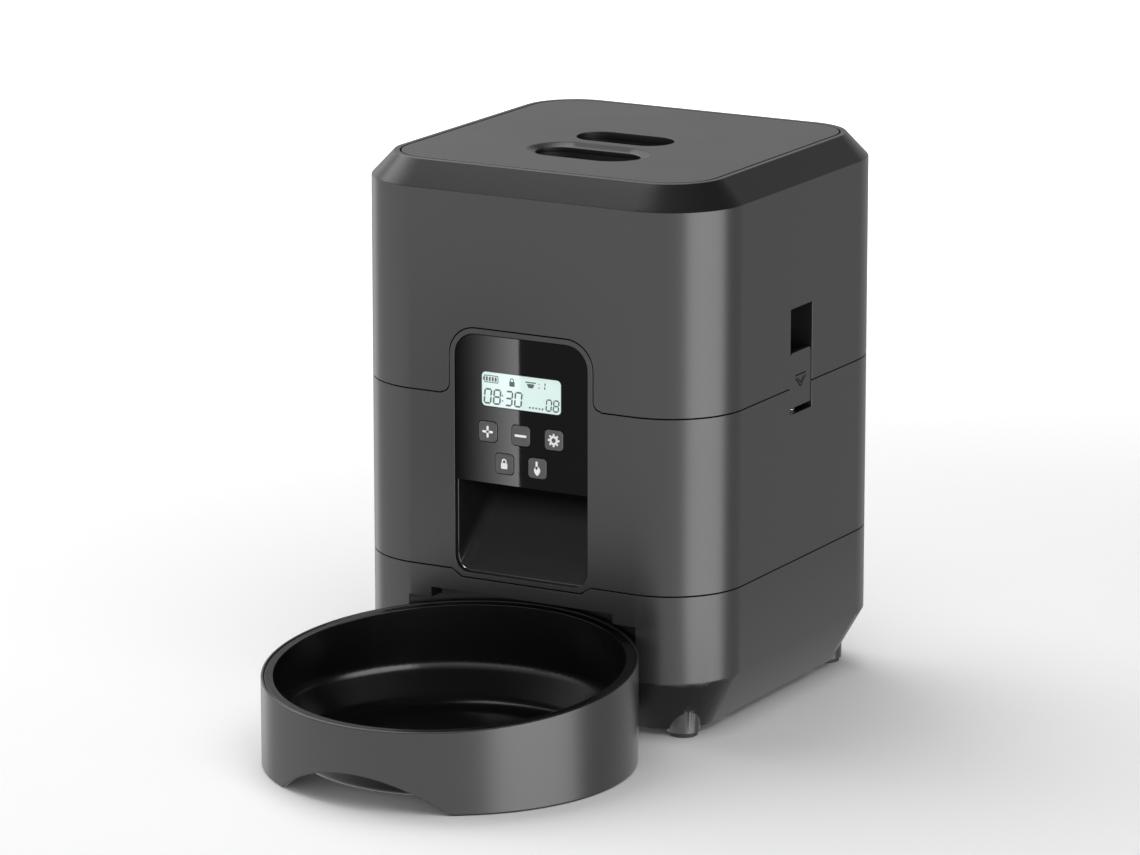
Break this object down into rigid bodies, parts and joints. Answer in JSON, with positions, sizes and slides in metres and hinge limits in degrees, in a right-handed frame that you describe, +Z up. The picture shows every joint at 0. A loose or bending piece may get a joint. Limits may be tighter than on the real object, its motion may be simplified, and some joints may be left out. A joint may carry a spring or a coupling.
{
  "type": "automatic pet feeder",
  "caption": "Square countertop pet feeder with chamfered rim, lift-off food tank, control panel over a chute and a round tilted bowl docked in front.",
  "frame": {"origin": "centre of the bounding box on the surface that the feeder and its bowl stand on", "axes": "+Z up, -Y out of the front towards the bowl, +X to the right when facing the rear from the front"},
  "size_m": [0.17, 0.3042, 0.232],
  "materials": {
    "charcoal_shell": "satin moulded charcoal plastic",
    "gloss_black": "polished black plastic",
    "black_inner": "matt black moulded plastic",
    "soft_rubber": "matt soft rubber",
    "button_grey": "satin grey keycap",
    "display_face": "pale mint display face",
    "display_frame": "off-white display frame",
    "board_green": "green circuit board",
    "component_black": "dull black components",
    "switch_black": "dull black switches",
    "screw_steel": "plain zinc-plated steel",
    "plated_contact": "bright nickel-plated strip",
    "bushing_brass": "plain sintered brass",
    "gear_white": "natural white engineering plastic",
    "motor_can": "drawn steel can",
    "gearbox_grey": "grey moulded plastic",
    "hopper_smoke": "smooth dark plastic",
    "rotor_grey": "light grey food-safe plastic",
    "cell_wrap": "plain dark cell wrap",
    "bag_fabric": "white woven bag"
  },
  "bodies": {
    "base": {"base_housing": "charcoal_shell", "foot_pads": "soft_rubber", "battery_tray": "black_inner", "battery_cells": "cell_wrap", "battery_contacts": "plated_contact", "battery_springs": "plated_contact", "battery_door_pins": "screw_steel", "power_inlet": "black_inner", "case_screws": "screw_steel", "middle_housing": "charcoal_shell", "shaft_bushing": "bushing_brass", "chute": "gloss_black", "electronics_cover": "black_inner", "control_panel": "gloss_black", "display_glass": "display_face", "display_module": "display_frame", "main_board": "board_green", "board_components": "component_black", "board_screws": "screw_steel", "tact_switches": "switch_black", "motor": "motor_can", "gearbox_case": "gearbox_grey", "gearbox_cover": "gearbox_grey", "gearbox_screws": "screw_steel", "latch_spring_right": "screw_steel", "latch_spring_left": "screw_steel"},
    "drive": {"drive_shaft": "screw_steel", "drive_gear": "gear_white"},
    "pinion": {"motor_pinion": "gear_white", "motor_shaft": "screw_steel"},
    "battery_door": {"battery_door": "charcoal_shell"},
    "latch_right": {"latch_right": "charcoal_shell"},
    "latch_left": {"latch_left": "charcoal_shell"},
    "tank": {"tank_shell": "charcoal_shell", "hopper": "hopper_smoke", "hopper_screws": "screw_steel", "outlet_baffle": "soft_rubber"},
    "rotor": {"rotor": "rotor_grey", "rotor_wipers": "soft_rubber", "agitator": "rotor_grey"},
    "lid": {"lid_panel": "charcoal_shell", "lid_tray": "black_inner", "lid_seal": "soft_rubber", "lid_screws": "screw_steel", "lid_latch_springs": "screw_steel", "desiccant_bag": "bag_fabric"},
    "lid_latch": {"lid_latch": "black_inner"},
    "desiccant_cover": {"desiccant_cover": "black_inner"},
    "bowl_stand": {"bowl_stand": "charcoal_shell"},
    "bowl_dish": {"bowl_dish": "gloss_black"},
    "button_plus": {"button_plus": "button_grey"},
    "button_minus": {"button_minus": "button_grey"},
    "button_set": {"button_set": "button_grey"},
    "button_lock": {"button_lock": "button_grey"},
    "button_feed": {"button_feed": "button_grey"}
  },
  "joints": [
    {"name": "tank_lift", "type": "slide", "parent": "base", "child": "tank", "axis": [0, 0, 1], "range_m": [0, 0.12]},
    {"name": "lid_lift", "type": "slide", "parent": "tank", "child": "lid", "axis": [0, 0, 1], "range_m": [0, 0.06]},
    {"name": "lid_latch_squeeze", "type": "slide", "parent": "lid", "child": "lid_latch", "axis": [0, 1, 0], "range_m": [0, 0.004], "stiffness_N_per_m": 400, "deforming": ["lid_latch_springs"]},
    {"name": "desiccant_cover_pull", "type": "slide", "parent": "lid", "child": "desiccant_cover", "axis": [0, 0, -1], "range_m": [0, 0.012]},
    {"name": "latch_right_press", "type": "slide", "parent": "base", "child": "latch_right", "axis": [0, 0, -1], "range_m": [0, 0.002], "stiffness_N_per_m": 600, "deforming": ["latch_spring_right"]},
    {"name": "latch_left_press", "type": "slide", "parent": "base", "child": "latch_left", "axis": [0, 0, -1], "range_m": [0, 0.002], "stiffness_N_per_m": 600, "deforming": ["latch_spring_left"]},
    {"name": "drive_spin", "type": "hinge", "parent": "base", "child": "drive", "pos_m": [0, 0.0591, 0.1], "axis": [0, 0, 1], "continuous": true},
    {"name": "rotor_spin", "type": "hinge", "parent": "tank", "child": "rotor", "pos_m": [0, 0.0591, 0.129], "axis": [0, 0, 1], "continuous": true},
    {"name": "pinion_spin", "type": "hinge", "parent": "base", "child": "pinion", "pos_m": [0, 0.0892, 0.095], "axis": [0, 0, 1], "continuous": true},
    {"name": "battery_door_hinge", "type": "hinge", "parent": "base", "child": "battery_door", "pos_m": [0, 0.08655, 0.005], "axis": [1, 0, 0], "range_deg": [0, 95]},
    {"name": "bowl_slide", "type": "slide", "parent": "base", "child": "bowl_stand", "axis": [0, -1, 0], "range_m": [0, 0.09]},
    {"name": "dish_lift", "type": "slide", "parent": "bowl_stand", "child": "bowl_dish", "axis": [0, 0, 1], "range_m": [0, 0.003]},
    {"name": "button_plus_press", "type": "slide", "parent": "base", "child": "button_plus", "axis": [0, 1, 0], "range_m": [0, 0.0005], "stiffness_N_per_m": 2000},
    {"name": "button_minus_press", "type": "slide", "parent": "base", "child": "button_minus", "axis": [0, 1, 0], "range_m": [0, 0.0005], "stiffness_N_per_m": 2000},
    {"name": "button_set_press", "type": "slide", "parent": "base", "child": "button_set", "axis": [0, 1, 0], "range_m": [0, 0.0005], "stiffness_N_per_m": 2000},
    {"name": "button_lock_press", "type": "slide", "parent": "base", "child": "button_lock", "axis": [0, 1, 0], "range_m": [0, 0.0005], "stiffness_N_per_m": 2000},
    {"name": "button_feed_press", "type": "slide", "parent": "base", "child": "button_feed", "axis": [0, 1, 0], "range_m": [0, 0.0005], "stiffness_N_per_m": 2000}
  ],
  "couplings": [
    {"joint": "rotor_spin", "follows": "drive_spin", "ratio": 1},
    {"joint": "pinion_spin", "follows": "drive_spin", "ratio": -3}
  ]
}
